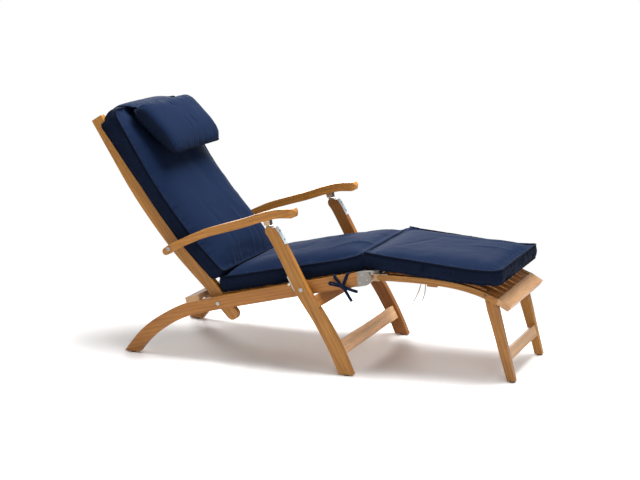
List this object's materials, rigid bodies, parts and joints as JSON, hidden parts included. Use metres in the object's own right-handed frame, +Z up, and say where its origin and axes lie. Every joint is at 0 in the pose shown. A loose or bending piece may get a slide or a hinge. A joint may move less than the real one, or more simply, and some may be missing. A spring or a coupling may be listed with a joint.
{
  "type": "folding deck chair",
  "caption": "Folding teak deck chair with arms, a hinged footrest on folding legs, an adjustable back and tied navy cushions.",
  "frame": {"origin": "middle of the footprint on the ground", "axes": "+X towards the foot end, +Y to the left of a person sitting in the chair, +Z up"},
  "size_m": [1.5205, 0.6568, 0.8682],
  "materials": {
    "teak": "oiled",
    "teak_pale": "sawn end grain",
    "stainless": "brushed",
    "dark_steel": "dark",
    "pale_pin": "matte",
    "glide_rubber": "matte",
    "navy_fabric": "woven",
    "tie_fabric": "woven tape",
    "twine": "twisted"
  },
  "bodies": {
    "seat_frame": {"seat_rail_right": "teak", "seat_rail_left": "teak", "rear_crossbar": "teak_pale", "seat_crossbar_rear": "teak", "seat_crossbar_mid": "teak", "seat_crossbar_front": "teak", "seat_slats": "teak", "knee_caps": "stainless", "knee_cap_screws": "stainless", "stop_pins": "pale_pin", "rear_glides": "glide_rubber", "back_bolts": "stainless", "back_washers": "stainless", "seat_cushion": "navy_fabric", "tie_front_right": "tie_fabric", "tie_rear_right": "tie_fabric", "tie_front_left": "tie_fabric", "tie_rear_left": "tie_fabric", "tie_bows": "tie_fabric"},
    "back_frame": {"back_stile_right": "teak", "back_stile_left": "teak", "back_top_rail": "teak", "back_middle_rail": "teak", "back_bottom_rail": "teak", "back_slats": "teak", "arm_bolts": "stainless", "arm_spacers": "stainless", "back_cushion": "navy_fabric", "head_pillow": "navy_fabric", "pillow_strap": "navy_fabric"},
    "arms": {"armrest_right": "teak", "armrest_left": "teak", "arm_blocks": "teak_pale", "arm_straps": "dark_steel"},
    "front_legs": {"front_leg_right": "teak", "front_leg_left": "teak", "stop_bar": "teak", "leg_stretcher": "teak", "leg_bolts": "stainless", "leg_spacer_plates": "stainless", "leg_saddles": "stainless", "strike_plates": "stainless", "strike_screws": "stainless", "leg_glides": "glide_rubber"},
    "footrest": {"footrest_rail_right": "teak", "footrest_rail_left": "teak", "footrest_knee_bar": "teak_pale", "footrest_cross_rail": "teak", "footrest_slats": "teak", "footrest_end_board": "teak", "footrest_hinges": "stainless", "hinge_pins": "stainless", "foot_bolts": "dark_steel", "leg_cushion": "navy_fabric", "string_front": "twine", "string_rear": "twine"},
    "foot_legs": {"foot_leg_right": "teak", "foot_leg_left": "teak", "foot_stretcher": "teak", "foot_glides": "glide_rubber"}
  },
  "joints": [
    {"name": "back_fold", "type": "hinge", "parent": "seat_frame", "child": "back_frame", "pos_m": [-0.2732, 0, 0.203], "axis": [0, 1, 0], "range_deg": [0, 90], "deforming": ["back_cushion", "head_pillow", "pillow_strap", "seat_cushion"]},
    {"name": "arm_fold", "type": "hinge", "parent": "back_frame", "child": "arms", "pos_m": [-0.4378, 0, 0.3903], "axis": [0, 1, 0], "range_deg": [-83.7, 0]},
    {"name": "leg_fold", "type": "hinge", "parent": "seat_frame", "child": "front_legs", "pos_m": [0.0468, 0, 0.2826], "axis": [0, 1, 0], "range_deg": [0, 87.3]},
    {"name": "footrest_fold", "type": "hinge", "parent": "seat_frame", "child": "footrest", "pos_m": [0.2858, 0, 0.35], "axis": [0, 1, 0], "range_deg": [-80, 0], "deforming": ["leg_cushion", "seat_cushion"]},
    {"name": "foot_leg_fold", "type": "hinge", "parent": "footrest", "child": "foot_legs", "pos_m": [0.6581, 0, 0.2923], "axis": [0, 1, 0], "range_deg": [0, 104]}
  ],
  "couplings": [
    {"joint": "arm_fold", "follows": "back_fold", "ratio": -0.93},
    {"joint": "leg_fold", "follows": "back_fold", "ratio": 0.97}
  ]
}
